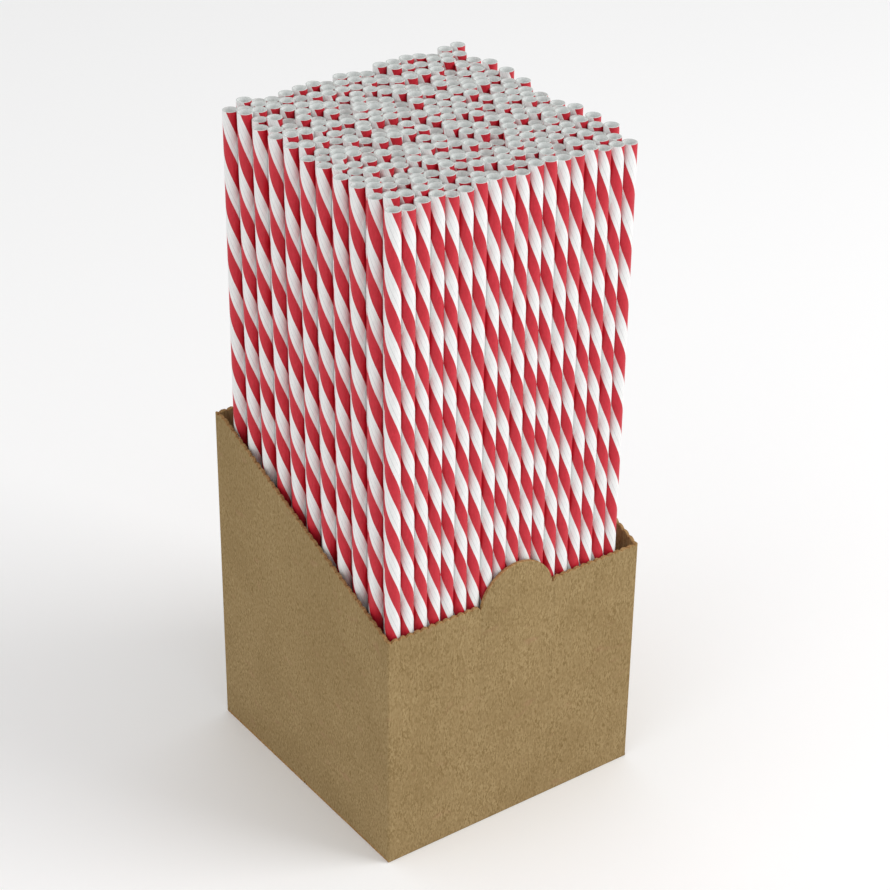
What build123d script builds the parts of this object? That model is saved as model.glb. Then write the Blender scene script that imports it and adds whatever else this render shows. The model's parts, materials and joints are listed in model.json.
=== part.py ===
"""Counter dispenser for drinking straws: an open kraft board carton packed with upright paper straws.

The carton is one folded and glued blank, split here at its creases into panels and flaps. Its upper part
has been torn off along a perforated line, which leaves scalloped edges and a half-round thumb tab on the
front. The straws stand on the carton's floor in a honeycomb: rows parallel to the front, every second row
half a straw across. The bundle is pushed into the front left corner. The straws in the middle of the front
row, where a hand reaches in over the thumb tab, are pieces of their own, and each row's others share one.

Frame: millimetres, +Z up, the front faces -Y, and the origin is the middle of the carton's base.
"""

import math
import os
import random

from build123d import *

# Carton
CARTON_WIDTH = 115.0
CARTON_DEPTH = 116.0
FRONT_HEIGHT = 100.0
BACK_HEIGHT = 140.0
BOARD = 1.4
CREASE_RADIUS = 1.2
LEVEL_AT_BACK = 3.4  # the side panels' torn edge runs level for this far before it drops to the front
SEAM_GAP = 0.6  # between flaps that meet in the middle of the base
FLAP_CLEARANCE = 0.5  # at each end of a dust flap
GLUE_FLAP_WIDTH = 14.0
GLUE_FLAP_CUT = 4.0  # how far the glue flap stops short of the back panel's torn edge

# Torn perforation
SCALLOP_LENGTH = 3.35
SCALLOP_RISE = 0.75

# Thumb tab: a round arch that ends in a small cut at each foot
TAB_RADIUS = 16.6
TAB_CENTRE_DROP = 3.3
TAB_CUT_DEPTH = 1.2
TAB_CUT_WIDTH = 0.85

# Straws
STRAW_DIAMETER = 5.6
STRAW_WALL = 0.45
STRAW_LENGTH = 265.0
LENGTH_SPREAD = 1.6  # a straw is up to this much longer or shorter than the nominal length
STRAW_PITCH = 5.8
FRONT_COUNT = 18
ROW_COUNT = 21
LOOSE_COUNT = 9  # straws in the middle of the front row, over the thumb tab, that are pieces of their own
FRONT_GAP = 0.3  # from the front panel to the first row
SIDE_GAP = 0.8  # from the left panel to the first straw
LENGTH_SEED = 21

# Worked out
INNER_LEFT = BOARD - CARTON_WIDTH / 2
INNER_RIGHT = -INNER_LEFT
INNER_FRONT = BOARD - CARTON_DEPTH / 2
INNER_BACK = -INNER_FRONT
FLOOR = 2 * BOARD
STRAW_RADIUS = STRAW_DIAMETER / 2
BORE_RADIUS = STRAW_RADIUS - STRAW_WALL
ROW_PITCH = STRAW_PITCH * math.sin(math.radians(60))
FIRST_X = INNER_LEFT + SIDE_GAP + STRAW_RADIUS
FIRST_Y = INNER_FRONT + FRONT_GAP + STRAW_RADIUS


def torn_edge(start, end):
    """Draws the scallops of a torn perforation from start to end, each bulging to the right of the way."""
    way = Vector(*end) - Vector(*start)
    count = round(way.length / SCALLOP_LENGTH)
    right = Vector(way.Y, -way.X) / way.length
    for index in range(count):
        here = Vector(*start) + way * (index / count)
        there = Vector(*start) + way * ((index + 1) / count)
        ThreePointArc(here, (here + there) / 2 + right * SCALLOP_RISE, there)


def finish_piece(piece, name):
    """Labels a finished piece and writes it to its own file."""
    piece.part.label = name
    export_step(piece.part, f"parts/{name}.step")


def straw_centres(row):
    """The centres of a row's straws, counted from the front. Odd rows hold one straw fewer."""
    odd = row % 2
    return [
        (FIRST_X + (index + odd / 2) * STRAW_PITCH, FIRST_Y + row * ROW_PITCH)
        for index in range(FRONT_COUNT - odd)
    ]


def straw_groups():
    """The centres of each straw node's straws, by the node's name, from the front row to the back row."""
    groups = {}
    for row in range(ROW_COUNT):
        centres = straw_centres(row)
        if row == 0:
            loose = sorted(sorted(centres, key=lambda centre: abs(centre[0]))[:LOOSE_COUNT])
            for number, centre in enumerate(loose, start=1):
                groups[f"loose_straw_{number}"] = [centre]
            centres = [centre for centre in centres if centre not in loose]
        groups[f"straw_row_{row + 1:02d}"] = centres
    return groups


os.makedirs("parts", exist_ok=True)

# Front panel: torn along the top on both sides of the thumb tab
tab_foot = math.sqrt(TAB_RADIUS**2 - (TAB_CENTRE_DROP - TAB_CUT_DEPTH) ** 2)
tab_top = FRONT_HEIGHT - TAB_CENTRE_DROP + TAB_RADIUS
cut_bottom = FRONT_HEIGHT - TAB_CUT_DEPTH
cut_outside = tab_foot + TAB_CUT_WIDTH

with BuildPart() as front_panel:
    with BuildSketch(Plane.XZ.offset(-INNER_FRONT)):
        with BuildLine():
            torn_edge((CARTON_WIDTH / 2, FRONT_HEIGHT), (cut_outside, FRONT_HEIGHT))
            Line((cut_outside, FRONT_HEIGHT), (tab_foot, cut_bottom))
            ThreePointArc((tab_foot, cut_bottom), (0, tab_top), (-tab_foot, cut_bottom))
            Line((-tab_foot, cut_bottom), (-cut_outside, FRONT_HEIGHT))
            torn_edge((-cut_outside, FRONT_HEIGHT), (-CARTON_WIDTH / 2, FRONT_HEIGHT))
            Polyline(
                (-CARTON_WIDTH / 2, FRONT_HEIGHT),
                (-CARTON_WIDTH / 2, BOARD),
                (CARTON_WIDTH / 2, BOARD),
                (CARTON_WIDTH / 2, FRONT_HEIGHT),
            )
        make_face()
    extrude(amount=BOARD)
    fillet(front_panel.edges().filter_by(Axis.Z).group_by(Axis.Y)[0], CREASE_RADIUS)
finish_piece(front_panel, "front_panel")

# Back panel: the tallest, torn straight across
with BuildPart() as back_panel:
    with BuildSketch(Plane.XZ.offset(-CARTON_DEPTH / 2)):
        with BuildLine():
            torn_edge((CARTON_WIDTH / 2, BACK_HEIGHT), (-CARTON_WIDTH / 2, BACK_HEIGHT))
            Polyline(
                (-CARTON_WIDTH / 2, BACK_HEIGHT),
                (-CARTON_WIDTH / 2, BOARD),
                (CARTON_WIDTH / 2, BOARD),
                (CARTON_WIDTH / 2, BACK_HEIGHT),
            )
        make_face()
    extrude(amount=BOARD)
    fillet(back_panel.edges().filter_by(Axis.Z).group_by(Axis.Y)[-1], CREASE_RADIUS)
finish_piece(back_panel, "back_panel")

# Side panels: the torn edge drops from the back panel's height to the front panel's
for name, outer_x in (("left_side_panel", -CARTON_WIDTH / 2), ("right_side_panel", INNER_RIGHT)):
    slope_top = (INNER_BACK - LEVEL_AT_BACK, BACK_HEIGHT)
    with BuildPart() as side_panel:
        with BuildSketch(Plane.YZ.offset(outer_x)):
            with BuildLine():
                torn_edge((INNER_BACK, BACK_HEIGHT), slope_top)
                torn_edge(slope_top, (INNER_FRONT, FRONT_HEIGHT))
                Polyline(
                    (INNER_FRONT, FRONT_HEIGHT),
                    (INNER_FRONT, BOARD),
                    (INNER_BACK, BOARD),
                    (INNER_BACK, BACK_HEIGHT),
                )
            make_face()
        extrude(amount=BOARD)
    finish_piece(side_panel, name)

# Glue flap: a continuation of the right side panel, glued to the inside of the back panel
with BuildPart() as glue_flap:
    with BuildSketch(Plane.XZ.offset(-INNER_BACK)):
        with BuildLine():
            Polyline(
                (INNER_RIGHT, FLOOR),
                (INNER_RIGHT, BACK_HEIGHT - GLUE_FLAP_CUT),
                (INNER_RIGHT - GLUE_FLAP_WIDTH, BACK_HEIGHT - 2 * GLUE_FLAP_CUT),
                (INNER_RIGHT - GLUE_FLAP_WIDTH, FLOOR + GLUE_FLAP_CUT),
                close=True,
            )
        make_face()
    extrude(amount=BOARD)
finish_piece(glue_flap, "glue_flap")

# Bottom flaps: the outer pair, which the carton stands on
flap_depth = CARTON_DEPTH / 2 - SEAM_GAP / 2
for name, side in (("bottom_flap_front", -1), ("bottom_flap_back", 1)):
    with BuildPart() as bottom_flap:
        with BuildSketch(Plane.XY):
            with Locations((0, side * (CARTON_DEPTH - flap_depth) / 2)):
                Rectangle(CARTON_WIDTH, flap_depth)
        extrude(amount=BOARD)
        crease = bottom_flap.edges().filter_by(Axis.X).group_by(Axis.Z)[0].sort_by(Axis.Y)
        fillet(crease[0] if side < 0 else crease[-1], CREASE_RADIUS)
    finish_piece(bottom_flap, name)

# Dust flaps: the inner pair, which the straws stand on
dust_flap_width = INNER_RIGHT - SEAM_GAP / 2
for name, side in (("dust_flap_left", -1), ("dust_flap_right", 1)):
    with BuildPart() as dust_flap:
        with BuildSketch(Plane.XY.offset(BOARD)):
            with Locations((side * (INNER_RIGHT + SEAM_GAP / 2) / 2, 0)):
                Rectangle(dust_flap_width, 2 * (INNER_BACK - FLAP_CLEARANCE))
        extrude(amount=BOARD)
    finish_piece(dust_flap, name)

# Straws, hollow, standing on the dust flaps: the loose ones, and each row's others as separate solids
lengths = random.Random(LENGTH_SEED)
for name, centres in straw_groups().items():
    with BuildPart() as straws:
        for centre in centres:
            with BuildSketch(Plane.XY.offset(FLOOR)):
                with Locations(centre):
                    Circle(STRAW_RADIUS)
                    Circle(BORE_RADIUS, mode=Mode.SUBTRACT)
            extrude(amount=STRAW_LENGTH + lengths.uniform(-LENGTH_SPREAD, LENGTH_SPREAD))
    finish_piece(straws, name)
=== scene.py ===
"""Looks for the drinking straw dispenser: a kraft board carton packed with striped paper straws.

Metres, in the CAD frame: +Z up, the carton's front faces -Y, and the origin is the middle of its base.
"""

import json
import math
import random

import bmesh
import bpy
from mathutils import Matrix, Vector, noise


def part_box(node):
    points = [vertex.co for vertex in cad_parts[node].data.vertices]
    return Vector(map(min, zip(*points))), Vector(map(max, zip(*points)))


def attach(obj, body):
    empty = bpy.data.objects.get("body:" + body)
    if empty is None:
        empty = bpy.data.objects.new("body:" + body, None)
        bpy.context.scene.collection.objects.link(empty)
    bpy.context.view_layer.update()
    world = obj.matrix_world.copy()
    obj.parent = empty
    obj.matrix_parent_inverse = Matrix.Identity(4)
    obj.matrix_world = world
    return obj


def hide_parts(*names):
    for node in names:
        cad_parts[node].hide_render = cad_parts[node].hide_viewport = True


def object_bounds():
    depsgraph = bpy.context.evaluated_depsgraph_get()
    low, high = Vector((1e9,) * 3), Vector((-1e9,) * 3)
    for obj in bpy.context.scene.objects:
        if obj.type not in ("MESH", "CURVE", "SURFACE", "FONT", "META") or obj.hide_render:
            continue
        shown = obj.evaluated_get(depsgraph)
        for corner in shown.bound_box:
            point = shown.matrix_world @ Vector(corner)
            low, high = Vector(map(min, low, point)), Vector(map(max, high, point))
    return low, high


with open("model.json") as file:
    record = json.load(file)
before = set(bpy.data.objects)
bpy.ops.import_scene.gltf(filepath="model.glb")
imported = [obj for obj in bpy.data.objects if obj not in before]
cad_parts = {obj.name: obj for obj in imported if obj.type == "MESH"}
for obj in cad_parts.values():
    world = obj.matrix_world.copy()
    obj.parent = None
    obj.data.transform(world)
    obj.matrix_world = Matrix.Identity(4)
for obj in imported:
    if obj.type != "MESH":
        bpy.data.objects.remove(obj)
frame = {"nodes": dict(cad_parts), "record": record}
cad_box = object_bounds()

MM = 0.001

# Camera, at the height and turn of a person looking down at the counter
CAMERA_PLACE = Vector((-461.2, -644.4, 604.6)) * MM
CAMERA_TURN = 36.09  # degrees to the right of straight ahead, +Y
CAMERA_DOWN = 30.65
CAMERA_ROLL = 0.78
CAMERA_LENS = 99.2
SENSOR = 36.0

# Board
BOARD = 1.4 * MM
CREASE_OUTER = 0.9 * MM  # radius of an upright crease on the outside
CREASE_INNER = 0.15 * MM
CREASE_LENGTH = CREASE_OUTER * math.pi / 2
CREASE_END = 2.2 * MM  # a wall turns round its corners, and its piece ends this far along the next side
BOTTOM_CREASE = 0.5 * MM
BOTTOM_STEPS = 5
FLAP_INSET = 0.35 * MM  # how far a bottom flap's ends stop short of the carton's sides
SCALLOP_LENGTH = 3.35 * MM
SCALLOP_RISE = 0.75 * MM
SCALLOP_STEPS = 14
TEAR_ROUGHNESS = 0.16 * MM
LEVEL_AT_BACK = 3.4 * MM
TAB_RADIUS = 16.6 * MM
TAB_CENTRE_DROP = 3.3 * MM
TAB_CUT_DEPTH = 1.2 * MM
TAB_CUT_WIDTH = 0.85 * MM
TAB_STEPS = 72
# The board's edge: (share of the thickness, how far it lies below the outline)
EDGE_PROFILE = (
    (0.0, 0.2 * MM),
    (0.07, 0.06 * MM),
    (0.24, 0.01 * MM),
    (0.5, 0.0),
    (0.76, 0.01 * MM),
    (0.93, 0.06 * MM),
    (1.0, 0.2 * MM),
)

# Straws
STRAW_WALL = 0.45 * MM
STRAW_SEGMENTS = 36
STRAW_BEVEL = 0.07 * MM
STRIPE_COUNT = 2  # red stripes side by side on a straw
STRIPE_RISE = 43.0 * MM  # height of one full turn of a stripe
STRIPE_SEED = 8
STRIPE_TURN = (0.235, 0.455, 0.405)  # least, greatest and commonest turn of a straw about itself

# A mesh's edges show as sharp from these angles on, in degrees
STRAW_SHARP = 35
BOARD_SHARP = 38

# Colours, each part 0 to 255
KRAFT_FACE = ((168, 145, 104), (149, 126, 87), (121, 98, 60))  # light, middle and dark
KRAFT_EDGE = ((186, 153, 106), (160, 126, 82), (120, 89, 54))
KRAFT_BLUSH = (172, 118, 104)
WHITE_PAPER = ((236, 236, 235), (223, 223, 222))
WHITE_SEAM = (148, 150, 153)
RED_INK = ((189, 27, 44), (202, 38, 55))
RED_CLOUD = (177, 21, 37)
RED_SEAM = (150, 18, 32)
PLAIN_PAPER = ((230, 233, 231), (241, 243, 242))
PLAIN_SEAM = (176, 180, 178)
# The cut ends' grey is painted shade: the rims are darkened to blend with the shade inside the hollow
# straws.
CUT_END_PAINTED_SHADE = ((193, 198, 195), (208, 212, 209))
FLOOR_COLOUR = (252, 252, 252)

# Stage: metres and watts
FLOOR_RADIUS = 12.0
SKY_STRENGTH = 0.73
KEY_PLACE = (1.0, -0.98, 1.15)
KEY_SIZE = 1.0
KEY_POWER = 14.0
FILL_PLACE = (-1.3, -0.1, 0.9)
FILL_SIZE = 1.4
FILL_POWER = 3.4


# ---------------------------------------------------------------- camera


def make_camera():
    """The view from the front left, looking down."""
    data = bpy.data.cameras.new("camera")
    data.lens = CAMERA_LENS
    data.sensor_width = SENSOR
    camera = bpy.data.objects.new("camera", data)
    bpy.context.scene.collection.objects.link(camera)
    camera.matrix_world = (
        Matrix.Translation(CAMERA_PLACE)
        @ Matrix.Rotation(math.radians(-CAMERA_TURN), 4, "Z")
        @ Matrix.Rotation(math.radians(90 - CAMERA_DOWN), 4, "X")
        @ Matrix.Rotation(math.radians(CAMERA_ROLL), 4, "Z")
    )
    bpy.context.scene.camera = camera


# ---------------------------------------------------------------- materials


class Nodes:
    """Builds one material's node tree."""

    def __init__(self, name):
        self.material = bpy.data.materials.new(name)
        self.material.use_nodes = True
        self.tree = self.material.node_tree
        self.shader = self.tree.nodes["Principled BSDF"]

    def add(self, kind, **settings):
        node = self.tree.nodes.new(kind)
        for key, value in settings.items():
            setattr(node, key, value)
        return node

    def link(self, source, target):
        """Links an output to an input, or sets the input to a number or colour."""
        if isinstance(source, bpy.types.NodeSocket):
            self.tree.links.new(source, target)
        else:
            target.default_value = source

    def place(self):
        """The point's place on its piece, in metres."""
        return self.add("ShaderNodeTexCoord").outputs["Object"]

    def math(self, operation, *values):
        node = self.add("ShaderNodeMath", operation=operation)
        for value, socket in zip(values, node.inputs):
            self.link(value, socket)
        return node.outputs[0]

    def noise(self, vector, scale, detail, roughness):
        node = self.add("ShaderNodeTexNoise")
        self.link(vector, node.inputs["Vector"])
        self.link(scale, node.inputs["Scale"])
        self.link(detail, node.inputs["Detail"])
        self.link(roughness, node.inputs["Roughness"])
        return node.outputs["Fac"]

    def stretch(self, vector, scale):
        node = self.add("ShaderNodeVectorMath", operation="MULTIPLY")
        self.link(vector, node.inputs[0])
        self.link(scale, node.inputs[1])
        return node.outputs[0]

    def ramp(self, value, low, high, to_low=0.0, to_high=1.0):
        """Maps value from low..high smoothly to to_low..to_high."""
        node = self.add("ShaderNodeMapRange", interpolation_type="SMOOTHSTEP")
        for source, socket in zip((value, low, high, to_low, to_high), node.inputs):
            self.link(source, socket)
        return node.outputs["Result"]

    def mix(self, factor, first, second):
        """Mixes two colours. The node has its colour sockets after those of its other kinds."""
        node = self.add("ShaderNodeMix", data_type="RGBA")
        self.link(factor, node.inputs["Factor"])
        self.link(first, node.inputs[6])
        self.link(second, node.inputs[7])
        return node.outputs[2]

    def bump(self, height, strength, distance):
        node = self.add("ShaderNodeBump")
        self.link(height, node.inputs["Height"])
        self.link(strength, node.inputs["Strength"])
        self.link(distance, node.inputs["Distance"])
        self.link(node.outputs["Normal"], self.shader.inputs["Normal"])

    def surface(self, colour, roughness, specular):
        """Sets what the shader still needs, and gives the finished material."""
        self.link(colour, self.shader.inputs["Base Color"])
        self.link(roughness, self.shader.inputs["Roughness"])
        self.shader.inputs["Specular IOR Level"].default_value = specular
        return self.material


def srgb(colour):
    """A colour given in 0 to 255, as the linear colour that shaders take."""
    shares = [part / 255 for part in colour]
    linear = [
        share / 12.92 if share <= 0.04045 else ((share + 0.055) / 1.055) ** 2.4
        for share in shares
    ]
    return (*linear, 1.0)


def board_colour(nodes, colours):
    """Kraft's colour and its fibres: short and upright, with specks, and faint pink and brown clouds."""
    light, middle, dark = [srgb(colour) for colour in colours]
    place = nodes.place()
    upright = nodes.stretch(place, (1.0, 1.0, 0.4))
    short = nodes.stretch(place, (1.0, 1.0, 0.45))
    flat = nodes.stretch(place, (1.0, 1.0, 2.2))
    fibres = nodes.noise(upright, 1650.0, detail=4.0, roughness=0.7)
    clumps = nodes.noise(upright, 420.0, detail=4.0, roughness=0.66)
    specks = nodes.noise(short, 900.0, detail=1.0, roughness=0.5)
    cloud = nodes.noise(place, 34.0, detail=2.0, roughness=0.5)
    blush = nodes.noise(flat, 90.0, detail=2.0, roughness=0.5)
    colour = nodes.mix(nodes.ramp(fibres, 0.36, 0.62), dark, light)
    colour = nodes.mix(nodes.ramp(clumps, 0.38, 0.62, 0.15, 0.7), colour, middle)
    colour = nodes.mix(nodes.ramp(specks, 0.68, 0.76, 0.0, 0.8), colour, light)
    colour = nodes.mix(nodes.ramp(specks, 0.3, 0.23, 0.0, 0.6), colour, dark)
    colour = nodes.mix(nodes.ramp(blush, 0.62, 0.78, 0.0, 0.16), colour, srgb(KRAFT_BLUSH))
    return nodes.mix(nodes.ramp(cloud, 0.35, 0.7, 0.0, 0.22), colour, dark), fibres


def make_kraft():
    """The faces of the board."""
    nodes = Nodes("kraft_board")
    colour, fibres = board_colour(nodes, KRAFT_FACE)
    nodes.bump(fibres, 0.3, 0.05 * MM)
    return nodes.surface(colour, nodes.ramp(fibres, 0.3, 0.7, 0.94, 0.84), specular=0.15)


def make_torn():
    """The board's cut and torn edges: redder, rougher fibres."""
    nodes = Nodes("kraft_edge")
    colour, fibres = board_colour(nodes, KRAFT_EDGE)
    nodes.bump(fibres, 0.6, 0.12 * MM)
    return nodes.surface(colour, 0.95, specular=0.1)


def stripe_turn(nodes):
    """(how far a point is along the stripes' sequence, its depth below the straw's top) as sockets."""
    wrap = nodes.add("ShaderNodeUVMap", uv_map="wrap").outputs["UV"]
    parts = nodes.add("ShaderNodeSeparateXYZ")
    nodes.link(wrap, parts.inputs[0])
    turn = nodes.math("MULTIPLY_ADD", parts.outputs[1], 1 / STRIPE_RISE, parts.outputs[0])
    return nodes.math("MULTIPLY", turn, STRIPE_COUNT), parts.outputs[1]


def line_at(nodes, turn, share, width, strength):
    """A thin line that winds with the stripes, at this share of the way from one to the next."""
    distance = nodes.math("PINGPONG", nodes.math("SUBTRACT", turn, share), 0.5)
    return nodes.ramp(distance, width / 4, width, strength, 0.0)


def make_striped():
    """The straws' printed outside: red stripes that wind round white paper, and the plies' seams."""
    nodes = Nodes("striped_paper")
    place = nodes.place()
    turn, _ = stripe_turn(nodes)
    waver = nodes.noise(place, 700.0, detail=2.0, roughness=0.5)
    turn = nodes.math("MULTIPLY_ADD", waver, 0.012, turn)
    middle_of_red = nodes.math("PINGPONG", nodes.math("SUBTRACT", turn, 0.25), 0.5)
    red = nodes.ramp(middle_of_red, 0.246, 0.256, 1.0, 0.0)
    broad_seam = line_at(nodes, turn, share=0.67, width=0.014, strength=0.42)
    fine_seam = line_at(nodes, turn, share=0.84, width=0.012, strength=0.3)
    white_seams = nodes.math("ADD", broad_seam, fine_seam)
    red_seam = line_at(nodes, turn, share=0.08, width=0.012, strength=0.35)
    pulp = nodes.noise(nodes.stretch(place, (1.0, 1.0, 0.4)), 1400.0, detail=4.0, roughness=0.6)
    cloud = nodes.noise(place, 160.0, detail=2.0, roughness=0.5)
    white = nodes.mix(nodes.ramp(pulp, 0.35, 0.7, 0.0, 0.5), *map(srgb, WHITE_PAPER))
    white = nodes.mix(white_seams, white, srgb(WHITE_SEAM))
    ink = nodes.mix(nodes.ramp(pulp, 0.3, 0.7), *map(srgb, RED_INK))
    ink = nodes.mix(nodes.ramp(cloud, 0.35, 0.65, 0.0, 0.3), ink, srgb(RED_CLOUD))
    ink = nodes.mix(red_seam, ink, srgb(RED_SEAM))
    colour = nodes.mix(red, white, ink)
    seams = nodes.math("ADD", white_seams, red_seam)
    relief = nodes.math("SUBTRACT", nodes.math("MULTIPLY", pulp, 0.35), seams)
    nodes.bump(relief, 0.3, 0.05 * MM)
    roughness = nodes.math("MULTIPLY_ADD", red, -0.1, nodes.ramp(pulp, 0.3, 0.7, 0.52, 0.64))
    return nodes.surface(colour, roughness, specular=0.35)


def make_plain_paper():
    """The straws' insides, of pale greyish unprinted paper wound the same way, and their cut ends, whose
    darker grey is painted shade that blends with the shade inside the bore.
    """
    nodes = Nodes("plain_paper")
    turn, depth = stripe_turn(nodes)
    seam = line_at(nodes, turn, share=0.5, width=0.02, strength=0.4)
    pulp = nodes.noise(nodes.place(), 1500.0, detail=4.0, roughness=0.6)
    inside = nodes.mix(nodes.ramp(pulp, 0.35, 0.65), *map(srgb, PLAIN_PAPER))
    inside = nodes.mix(seam, inside, srgb(PLAIN_SEAM))
    # The cut end's colour is painted shade: a darker grey, so that the lit rim blends with the shade
    # inside the bore.
    end = nodes.mix(nodes.ramp(pulp, 0.35, 0.65), *map(srgb, CUT_END_PAINTED_SHADE))
    colour = nodes.mix(nodes.ramp(depth, -0.15 * MM, -0.05 * MM), inside, end)
    nodes.bump(pulp, 0.3, 0.05 * MM)
    return nodes.surface(colour, nodes.ramp(pulp, 0.3, 0.7, 0.8, 0.92), specular=0.15)


# ---------------------------------------------------------------- meshes


def new_mesh(name, vertices, faces, materials, takes_second):
    """A mesh with two materials. takes_second says of each face whether it has the second one."""
    mesh = bpy.data.meshes.new(name)
    mesh.from_pydata(vertices, [], faces)
    for material in materials:
        mesh.materials.append(material)
    for face, second in zip(mesh.polygons, takes_second):
        face.material_index = 1 if second else 0
    return mesh


def finish_piece(mesh, body, node, sharp_angle):
    """Shades a finished mesh, and hangs it on its body in place of its CAD node."""
    shape = bmesh.new()
    shape.from_mesh(mesh)
    bmesh.ops.recalc_face_normals(shape, faces=shape.faces)
    shape.to_mesh(mesh)
    shape.free()
    for face in mesh.polygons:
        face.use_smooth = True
    mesh.set_sharp_from_angle(angle=math.radians(sharp_angle))
    piece = bpy.data.objects.new(mesh.name, mesh)
    bpy.context.scene.collection.objects.link(piece)
    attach(piece, body)
    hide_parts(node)


# ---------------------------------------------------------------- straws


def straw_places(node, radius, pitch):
    """(centre x, centre y, foot, top) of each straw in a CAD node, which holds one row."""
    low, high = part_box(node)
    points = [vertex.co for vertex in frame["nodes"][node].data.vertices]
    places = []
    for index in range(round((high.x - low.x - 2 * radius) / pitch) + 1):
        x = low.x + radius + index * pitch
        heights = [point.z for point in points if abs(point.x - x) < pitch / 2]
        if heights:
            places.append((x, (low.y + high.y) / 2, min(heights), max(heights)))
    return places


def straw_profile(radius, foot, top):
    """(radius, height, True where the next stretch is printed) round the section of a straw's wall."""
    bore = radius - STRAW_WALL
    return (
        (radius - STRAW_BEVEL, foot, False),
        (radius, foot + STRAW_BEVEL, True),
        (radius, top - STRAW_BEVEL, False),
        (radius - STRAW_BEVEL, top, False),
        (bore + STRAW_BEVEL, top, False),
        (bore, top - STRAW_BEVEL, False),
        (bore, foot + STRAW_BEVEL, False),
        (bore + STRAW_BEVEL, foot, False),
    )


def make_straws(node, body, radius, pitch, turns, materials):
    """The straws of one CAD node as one mesh of hollow tubes, with a UV map of turns and metres."""
    vertices = []
    faces = []
    unprinted = []
    uvs = []
    for x, y, foot, top in straw_places(node, radius, pitch):
        turned = turns.triangular(*STRIPE_TURN)
        profile = straw_profile(radius, foot, top)
        first = len(vertices)
        for reach, height, _ in profile:
            for step in range(STRAW_SEGMENTS):
                angle = 2 * math.pi * step / STRAW_SEGMENTS
                vertices.append((x + reach * math.cos(angle), y + reach * math.sin(angle), height))
        for ring, (_, height, outside) in enumerate(profile):
            after = (ring + 1) % len(profile)
            next_height = profile[after][1]
            for step in range(STRAW_SEGMENTS):
                beside = (step + 1) % STRAW_SEGMENTS
                faces.append((
                    first + ring * STRAW_SEGMENTS + step,
                    first + ring * STRAW_SEGMENTS + beside,
                    first + after * STRAW_SEGMENTS + beside,
                    first + after * STRAW_SEGMENTS + step,
                ))
                unprinted.append(not outside)
                left = step / STRAW_SEGMENTS + turned
                right = (step + 1) / STRAW_SEGMENTS + turned
                uvs += [(left, height - top), (right, height - top)]
                uvs += [(right, next_height - top), (left, next_height - top)]
    mesh = new_mesh(f"{node}_paper", vertices, faces, materials, unprinted)
    wrap = mesh.uv_layers.new(name="wrap")
    for loop, uv in zip(wrap.data, uvs):
        loop.uv = uv
    finish_piece(mesh, body, node, STRAW_SHARP)


# ---------------------------------------------------------------- carton


def torn_line(start, end):
    """Points (along, up, torn) of a torn perforation from start to end, in scallops that bulge upwards."""
    way = Vector(end) - Vector(start)
    up = Vector((-way.y, way.x)).normalized()
    count = round(way.length / SCALLOP_LENGTH)
    steps = count * SCALLOP_STEPS
    points = []
    for step in range(steps + 1):
        phase = (step % SCALLOP_STEPS) / SCALLOP_STEPS
        rise = SCALLOP_RISE * math.sin(math.pi * phase) ** 0.8
        points.append((*(Vector(start) + way * (step / steps) + up * rise), True))
    return points


def tab_line(front_height, tab_top):
    """Points (along, up, torn) over the thumb tab, from its left cut to its right cut."""
    centre = front_height - TAB_CENTRE_DROP
    radius = tab_top - centre
    foot_angle = math.asin((TAB_CENTRE_DROP - TAB_CUT_DEPTH) / radius)
    arch = [
        math.pi - foot_angle - (math.pi - 2 * foot_angle) * step / TAB_STEPS
        for step in range(TAB_STEPS + 1)
    ]
    return [(radius * math.cos(angle), centre + radius * math.sin(angle), False) for angle in arch]


def edge_points(outline):
    """The board's edge at each point of a wall's top outline, as a list of (along and up, depth share)."""
    columns = []
    last = len(outline) - 1
    for index, (along, up, torn) in enumerate(outline):
        inward = Vector((0.0, -1.0))  # straight down at both ends, so that walls meet without a gap
        if 0 < index < last:
            way = Vector(outline[index + 1][:2]) - Vector(outline[index - 1][:2])
            inward = Vector((way.y, -way.x)).normalized()
        column = []
        for depth, drop in EDGE_PROFILE:
            ragged = 0.0
            if torn:
                spot = Vector((along, up, depth * BOARD)) / MM
                ragged = TEAR_ROUGHNESS * (noise.noise(spot * 2.1) + 0.5 * noise.noise(spot * 5.3))
            column.append((Vector((along, up)) + inward * (drop + ragged), depth))
        columns.append(column)
    return columns


def make_wall(node, outline, foot, place, materials):
    """One wall of the carton, from its top outline. place turns (along, depth, up) into a point."""
    vertices = []
    faces = []
    edges = []
    count = len(EDGE_PROFILE)
    for column in edge_points(outline):
        for spot, depth in column:
            vertices.append(place(spot.x, depth * BOARD, spot.y))
        vertices.append(place(column[-1][0].x, BOARD, foot))
        vertices.append(place(column[0][0].x, 0.0, foot))
    ring = count + 2
    for index in range(len(outline) - 1):
        here = index * ring
        there = here + ring
        for step in range(ring):
            after = (step + 1) % ring
            faces.append((here + step, there + step, there + after, here + after))
            edges.append(step < count - 1 or step == count)
    last = (len(outline) - 1) * ring
    faces.append(tuple(range(ring)))
    faces.append(tuple(last + step for step in reversed(range(ring))))
    edges += [True, True]
    mesh = new_mesh(f"{node}_board", vertices, faces, materials, edges)
    finish_piece(mesh, "carton", node, BOARD_SHARP)


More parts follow.
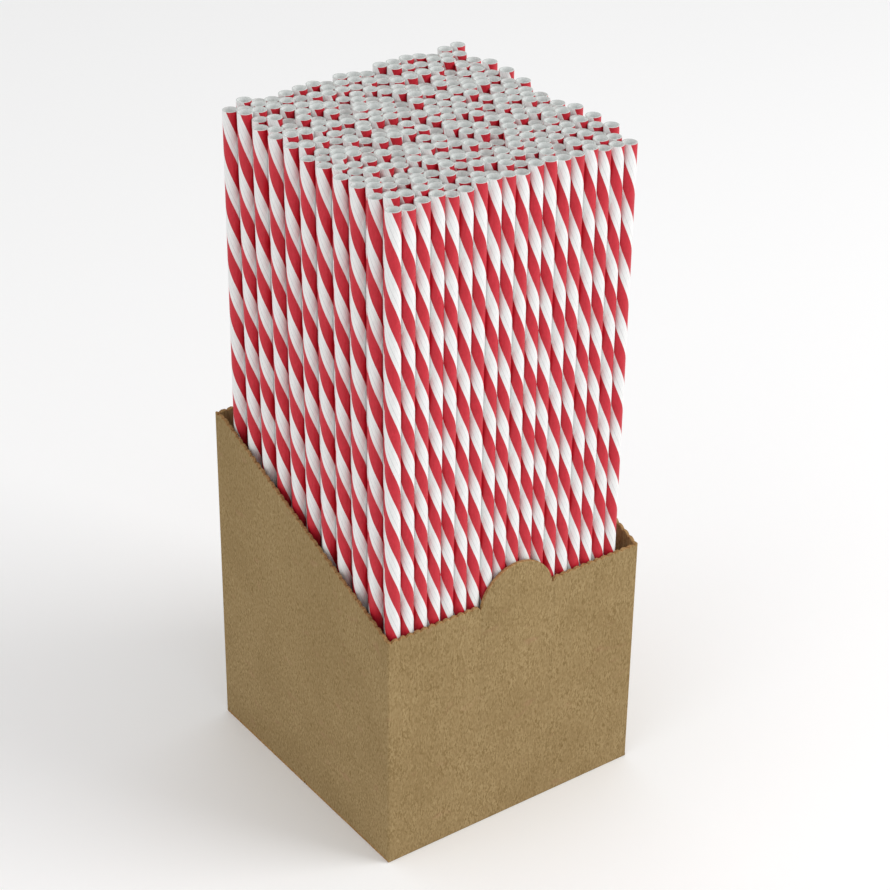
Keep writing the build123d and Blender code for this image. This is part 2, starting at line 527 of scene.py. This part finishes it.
def wrap_place(half_width, outer_y, facing):
    """Places a wall that turns round both of its corners. facing is -1 at the front and 1 at the back."""
    flat = half_width - CREASE_OUTER

    def place(along, depth, up):
        radius = CREASE_OUTER + (CREASE_INNER - CREASE_OUTER) * depth / BOARD
        distance = abs(along)
        turned = min(max((distance - flat) / CREASE_OUTER, 0.0), math.pi / 2)
        beyond = max(distance - flat - CREASE_LENGTH, 0.0) / (CREASE_END - CREASE_OUTER)
        out = min(distance / flat, 1.0) * (half_width - depth - radius) + radius * math.sin(turned)
        inward = depth + radius * (1 - math.cos(turned))
        inward += beyond * (CREASE_END - depth - radius)
        return (-facing * math.copysign(out, along), outer_y - facing * inward, up)

    return place


def side_place(outer_x):
    """Places a flat side wall, whose outside is at outer_x."""
    inward = -math.copysign(1.0, outer_x)

    def place(along, depth, up):
        return (outer_x + inward * depth, along, up)

    return place


def flap_place(facing, sideways):
    """Places a flap that hangs on the wall on the -1 or 1 side: along Y, or along X if sideways."""

    def place(along, out, up):
        return (facing * out, along, up) if sideways else (along, facing * out, up)

    return place


def make_flap(node, half_width, reach, outer, base, place, materials):
    """A bottom flap with its crease, from the wall it hangs on, at outer, to reach."""
    middle = (outer - BOTTOM_CREASE, base + BOTTOM_CREASE)
    section = [(reach, base + BOARD), (outer, base + BOARD)]
    for step in range(BOTTOM_STEPS + 1):
        angle = math.pi / 2 * step / BOTTOM_STEPS
        out = middle[0] + BOTTOM_CREASE * math.cos(angle)
        section.append((out, middle[1] - BOTTOM_CREASE * math.sin(angle)))
    section.append((reach, base))
    vertices = [place(end * half_width, out, up) for end in (-1, 1) for out, up in section]
    count = len(section)
    faces = [tuple(range(count)), tuple(count + step for step in reversed(range(count)))]
    edges = [True, True]
    for step in range(count):
        after = (step + 1) % count
        faces.append((after, step, count + step, count + after))
        edges.append(step == count - 1)
    mesh = new_mesh(f"{node}_board", vertices, faces, materials, edges)
    finish_piece(mesh, "carton", node, BOARD_SHARP)


def make_carton(materials):
    """The four walls, and the flaps they fold into. materials are the board's face and its edge."""
    low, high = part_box("bottom_flap_front")
    half_width = high.x
    half_depth = -low.y
    tab_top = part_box("front_panel")[1].z
    back_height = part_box("back_panel")[1].z - SCALLOP_RISE
    front_height = tab_top - TAB_RADIUS + TAB_CENTRE_DROP
    developed = half_width + CREASE_LENGTH + CREASE_END - 2 * CREASE_OUTER
    tab = tab_line(front_height, tab_top)
    cut = tab[-1][0] + TAB_CUT_WIDTH
    half_side = half_depth - CREASE_END
    slope_end = half_side - LEVEL_AT_BACK
    past_corner = CREASE_END - CREASE_OUTER
    slope = (back_height - front_height) / (slope_end + half_side + past_corner)
    front = [
        *torn_line((-developed, front_height), (-cut, front_height)),
        *tab,
        *torn_line((cut, front_height), (developed, front_height)),
    ]
    corner = developed - past_corner
    front = [(along, up + slope * max(abs(along) - corner, 0.0), torn) for along, up, torn in front]
    make_wall("front_panel", front, BOARD, wrap_place(half_width, -half_depth, -1), materials)
    back = torn_line((-developed, back_height), (developed, back_height))
    make_wall("back_panel", back, BOARD, wrap_place(half_width, half_depth, 1), materials)

    side = [
        *torn_line((-half_side, front_height + slope * past_corner), (slope_end, back_height))[:-1],
        *torn_line((slope_end, back_height), (half_side, back_height)),
    ]
    for node, outer_x in (("left_side_panel", -half_width), ("right_side_panel", half_width)):
        make_wall(node, side, 2 * BOARD, side_place(outer_x), materials)

    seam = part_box("bottom_flap_back")[0].y
    for node, facing in (("bottom_flap_front", -1), ("bottom_flap_back", 1)):
        place = flap_place(facing, sideways=False)
        make_flap(node, half_width - FLAP_INSET, seam, half_depth, 0.0, place, materials)
    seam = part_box("dust_flap_right")[0].x
    for node, facing in (("dust_flap_left", -1), ("dust_flap_right", 1)):
        place = flap_place(facing, sideways=True)
        make_flap(node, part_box(node)[1].y, seam, half_width, BOARD, place, materials)


# ---------------------------------------------------------------- stage


def make_stage():
    """A plain pale floor under soft studio light."""
    bpy.ops.mesh.primitive_circle_add(vertices=96, radius=FLOOR_RADIUS, fill_type="NGON")
    floor = bpy.context.object
    floor.name = "floor"
    nodes = Nodes("floor")
    floor.data.materials.append(nodes.surface(srgb(FLOOR_COLOUR), 0.7, specular=0.2))
    world = bpy.data.worlds.new("studio")
    bpy.context.scene.world = world
    world.use_nodes = True
    sky = world.node_tree.nodes["Background"]
    sky.inputs["Color"].default_value = (1.0, 1.0, 1.0, 1.0)
    sky.inputs["Strength"].default_value = SKY_STRENGTH
    add_light("key", KEY_PLACE, KEY_SIZE, KEY_POWER)
    add_light("fill", FILL_PLACE, FILL_SIZE, FILL_POWER)
    bpy.context.scene.view_settings.view_transform = "Standard"


def add_light(name, place, size, power):
    """A square area light that faces the middle of the object."""
    data = bpy.data.lights.new(name, "AREA")
    data.size = size
    data.energy = power
    light = bpy.data.objects.new(name, data)
    bpy.context.scene.collection.objects.link(light)
    middle = (cad_box[0] + cad_box[1]) / 2
    light.location = place
    light.rotation_mode = "QUATERNION"
    light.rotation_quaternion = (middle - Vector(place)).to_track_quat("-Z", "Y")


# ---------------------------------------------------------------- making


def main():
    """Makes every straw and the carton on their CAD bodies, and the stage round them."""
    make_camera()
    boards = (make_kraft(), make_torn())
    papers = (make_striped(), make_plain_paper())
    low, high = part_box("loose_straw_1")
    radius = (high.x - low.x) / 2
    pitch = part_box("loose_straw_2")[0].x - low.x
    turns = random.Random(STRIPE_SEED)
    for body, members in frame["record"]["behaviour"]["bodies"].items():
        if body != "carton":
            make_straws(members[0], body, radius, pitch, turns, papers)
    make_carton(boards)
    for name in frame["record"]["behaviour"]["bodies"]["carton"]:
        node = frame["nodes"][name]
        node.data.materials.clear()
        node.data.materials.append(boards[0])
    make_stage()


main()
